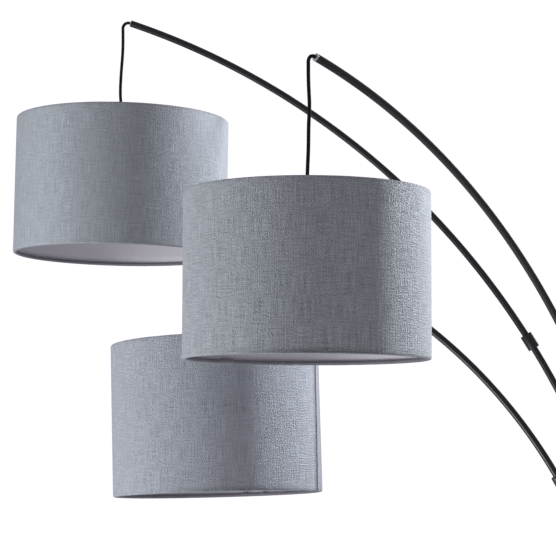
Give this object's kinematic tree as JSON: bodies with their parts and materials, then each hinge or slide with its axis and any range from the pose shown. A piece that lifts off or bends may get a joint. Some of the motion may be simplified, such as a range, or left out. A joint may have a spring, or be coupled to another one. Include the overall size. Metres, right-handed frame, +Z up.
{
  "type": "multi-arm arc floor lamp",
  "caption": "Black arc floor lamp: arched tube arms fan out from one pole on a round weighted base, each with a grey drum shade hanging from its tip on a cord.",
  "frame": {"origin": "centre of the floor pad's underside, on the pole's axis", "axes": "+Z up along the pole; the arms reach towards -X, and the viewer of the picture looks along +Y"},
  "size_m": [1.0775, 0.881, 1.863],
  "materials": {
    "black_paint": "satin",
    "black_gloss": "gloss",
    "steel": "zinc plated",
    "cast_iron": "as cast",
    "felt": "felt",
    "black_plastic": "moulded",
    "nylon": "moulded",
    "terminal": "moulded",
    "clear_plastic": "translucent",
    "cord": "smooth matte sheath",
    "shade_cloth": "slub weave with a soft sheen",
    "liner": "matt laminate",
    "frame_wire": "powder coat",
    "bulb_glass": "frosted"
  },
  "bodies": {
    "stand": {"base_pad": "felt", "base_weight": "cast_iron", "base_cover": "black_paint", "base_stud": "steel", "base_nut": "steel", "cable_gland": "black_plastic", "pole_lower": "black_paint", "pole_joint": "black_paint", "pole_upper": "black_paint", "pole_cable": "cord", "hub_bowl": "black_paint", "hub_head": "black_paint", "hub_bushes": "nylon", "hub_screws": "steel", "hub_terminal": "terminal"},
    "back_arm": {"arm_lower_1": "black_paint", "arm_upper_1": "black_paint", "arm_collar_1": "black_gloss", "arm_sleeve_1": "steel", "arm_grommet_1": "clear_plastic", "arm_wire_1": "cord", "cord_bend_1": "cord"},
    "back_shade": {"cord_drop_1": "cord", "cord_grip_1": "black_plastic", "lamp_holder_1": "black_plastic", "shade_ring_1": "black_plastic", "shade_frame_1": "frame_wire", "shade_liner_1": "liner", "shade_cloth_1": "shade_cloth", "bulb_1": "bulb_glass"},
    "front_arm": {"arm_lower_2": "black_paint", "arm_upper_2": "black_paint", "arm_collar_2": "black_gloss", "arm_sleeve_2": "steel", "arm_grommet_2": "clear_plastic", "arm_wire_2": "cord", "cord_bend_2": "cord"},
    "front_shade": {"cord_drop_2": "cord", "cord_grip_2": "black_plastic", "lamp_holder_2": "black_plastic", "shade_ring_2": "black_plastic", "shade_frame_2": "frame_wire", "shade_liner_2": "liner", "shade_cloth_2": "shade_cloth", "bulb_2": "bulb_glass"},
    "middle_arm": {"arm_lower_3": "black_paint", "arm_upper_3": "black_paint", "arm_collar_3": "black_gloss", "arm_sleeve_3": "steel", "arm_grommet_3": "clear_plastic", "arm_wire_3": "cord", "cord_bend_3": "cord"},
    "middle_shade": {"cord_drop_3": "cord", "cord_grip_3": "black_plastic", "lamp_holder_3": "black_plastic", "shade_ring_3": "black_plastic", "shade_frame_3": "frame_wire", "shade_liner_3": "liner", "shade_cloth_3": "shade_cloth", "bulb_3": "bulb_glass"}
  },
  "joints": [
    {"name": "back_arm_swivel", "type": "hinge", "parent": "stand", "child": "back_arm", "pos_m": [0.012, 0.02078, 0.74], "axis": [0, 0, 1], "range_deg": [-120, 2]},
    {"name": "front_arm_swivel", "type": "hinge", "parent": "stand", "child": "front_arm", "pos_m": [0.012, -0.02078, 0.74], "axis": [0, 0, 1], "range_deg": [-2, 120]},
    {"name": "middle_arm_swivel", "type": "hinge", "parent": "stand", "child": "middle_arm", "pos_m": [-0.024, 0, 0.74], "axis": [0, 0, 1], "range_deg": [-8, 4]},
    {"name": "back_shade_swing", "type": "hinge", "parent": "back_arm", "child": "back_shade", "pos_m": [-0.75663, 0.09344, 1.84904], "axis": [0.0941, 0.9956, 0], "range_deg": [-10, 10]},
    {"name": "front_shade_swing", "type": "hinge", "parent": "front_arm", "child": "front_shade", "pos_m": [-0.48518, -0.48118, 1.67648], "axis": [-0.6794, 0.7337, 0], "range_deg": [-10, 10]},
    {"name": "middle_shade_swing", "type": "hinge", "parent": "middle_arm", "child": "middle_shade", "pos_m": [-0.61159, -0.10149, 1.51141], "axis": [-0.1702, 0.9854, 0], "range_deg": [-10, 10]}
  ]
}
